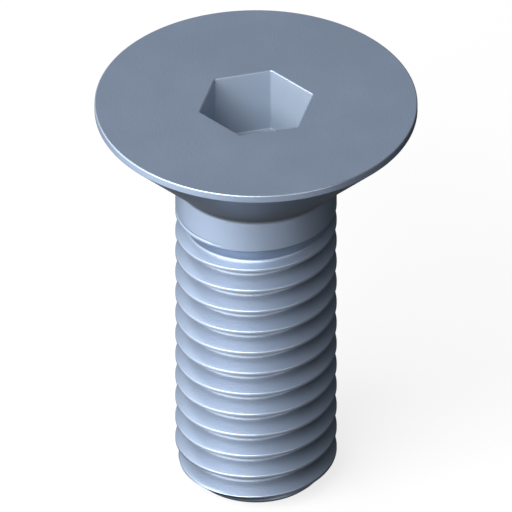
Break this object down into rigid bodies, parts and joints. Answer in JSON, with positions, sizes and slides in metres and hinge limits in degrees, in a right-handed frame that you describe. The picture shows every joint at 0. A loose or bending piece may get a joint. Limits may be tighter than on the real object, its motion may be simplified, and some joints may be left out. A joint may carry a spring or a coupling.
{
  "type": "countersunk screw",
  "caption": "Countersunk machine screw with a hexagon socket: its conical head sinks flush into a countersunk hole while its threaded shank is driven into a nut or a tapped hole.",
  "frame": {"origin": "centre of the flat of the point, on which the screw stands", "axes": "+Z along the screw's axis, from the point up to the head; two flats of the socket face +Y and -Y, and two of its corners lie on X"},
  "size_m": [0.016, 0.016, 0.022],
  "materials": {
    "zinc_plated_steel": "satin"
  },
  "bodies": {
    "root": {"countersunk_screw": "zinc_plated_steel"}
  },
  "joints": []
}
